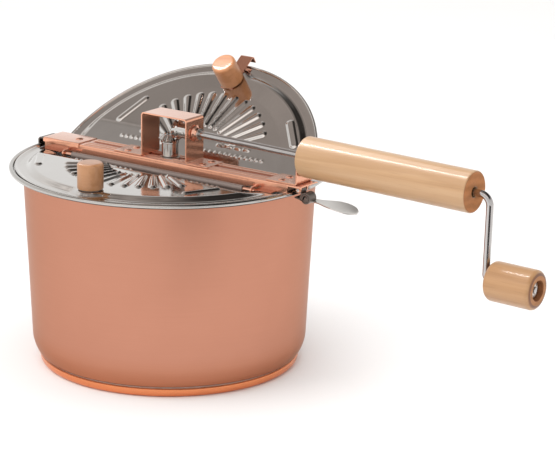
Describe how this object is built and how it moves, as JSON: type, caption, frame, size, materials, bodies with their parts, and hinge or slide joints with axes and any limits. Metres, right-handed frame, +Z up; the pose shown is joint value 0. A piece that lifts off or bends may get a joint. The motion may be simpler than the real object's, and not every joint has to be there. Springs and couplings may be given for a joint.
{
  "type": "stove-top crank popcorn maker",
  "caption": "Stove-top popcorn maker: deep copper-clad pot under a bridge with hinged half lids, and a crank in a wooden handle that turns a stirring wire through bevel gears.",
  "frame": {"origin": "centre of the pot's underside, on the surface it stands on", "axes": "+Z up, +X along the bridge towards the handle and crank, -Y towards the closed front lid"},
  "size_m": [0.466, 0.254, 0.2351],
  "materials": {
    "copper_pot": "satin copper plate on steel sheet",
    "copper_sheet": "polished copper plate on steel sheet",
    "polished_steel": "mirror-polished stainless steel",
    "aluminium_core": "raw",
    "dark_steel": "dark satin",
    "satin_steel": "satin",
    "bright_rod": "bright drawn",
    "gear_metal": "bright cast and plated",
    "maple": "lacquered"
  },
  "bodies": {
    "pot_and_frame": {"pot_shell": "copper_pot", "base_core": "aluminium_core", "base_cap": "copper_pot", "bridge_bar": "copper_sheet", "bridge_end_plate": "copper_sheet", "rim_hook": "dark_steel", "hook_rivet": "copper_sheet", "rim_seat": "dark_steel", "gear_bracket": "copper_sheet", "bracket_rivets": "copper_sheet", "shaft_bushing": "copper_sheet", "stirrer_bushing": "satin_steel", "handle_bracket": "copper_sheet", "handle_bracket_rivets": "copper_sheet", "tab_bushing": "copper_sheet", "handle_grip": "maple", "handle_screws": "satin_steel", "front_hinge_rod": "copper_sheet", "rear_hinge_rod": "copper_sheet", "latch_pin": "satin_steel", "latch_spring": "satin_steel"},
    "front_lid": {"front_lid_panel": "polished_steel", "front_knob": "maple", "front_knob_screw": "satin_steel", "front_knob_washer": "satin_steel"},
    "rear_lid": {"rear_lid_panel": "polished_steel", "rear_knob": "maple", "rear_knob_screw": "satin_steel", "rear_lid_catch": "copper_sheet"},
    "crank": {"crank_rod": "bright_rod", "drive_gear": "gear_metal", "drive_gear_pin": "satin_steel", "crank_push_nut": "satin_steel", "crank_thrust_washer": "satin_steel"},
    "crank_grip": {"crank_knob": "maple"},
    "stirrer": {"driven_gear": "gear_metal", "stirrer_shaft": "bright_rod", "stirrer_clip": "satin_steel", "agitator_hub": "bright_rod", "agitator_wire": "bright_rod"},
    "latch": {"latch_lever": "satin_steel"}
  },
  "joints": [
    {"name": "front_lid_hinge", "type": "hinge", "parent": "pot_and_frame", "child": "front_lid", "pos_m": [0, -0.018, 0.157], "axis": [-1, 0, 0], "range_deg": [0, 80]},
    {"name": "rear_lid_hinge", "type": "hinge", "parent": "pot_and_frame", "child": "rear_lid", "pos_m": [0, 0.018, 0.157], "axis": [1, 0, 0], "range_deg": [-38, 42]},
    {"name": "crank_spin", "type": "hinge", "parent": "pot_and_frame", "child": "crank", "pos_m": [0, 0, 0.1888], "axis": [0.9998, 0, -0.0218], "continuous": true},
    {"name": "stirrer_spin", "type": "hinge", "parent": "pot_and_frame", "child": "stirrer", "pos_m": [0, 0, 0.1], "axis": [0, 0, 1], "continuous": true},
    {"name": "crank_knob_spin", "type": "hinge", "parent": "crank", "child": "crank_grip", "pos_m": [0.31554, 0, 0.1186], "axis": [0.9998, 0, -0.0218], "continuous": true},
    {"name": "latch_hinge", "type": "hinge", "parent": "pot_and_frame", "child": "latch", "pos_m": [0.1305, 0, 0.1614], "axis": [0, -1, 0], "range_deg": [0, 20], "stiffness_Nm_per_rad": 0.05, "springref_deg": -20.05}
  ],
  "couplings": [
    {"joint": "stirrer_spin", "follows": "crank_spin", "ratio": 1}
  ]
}
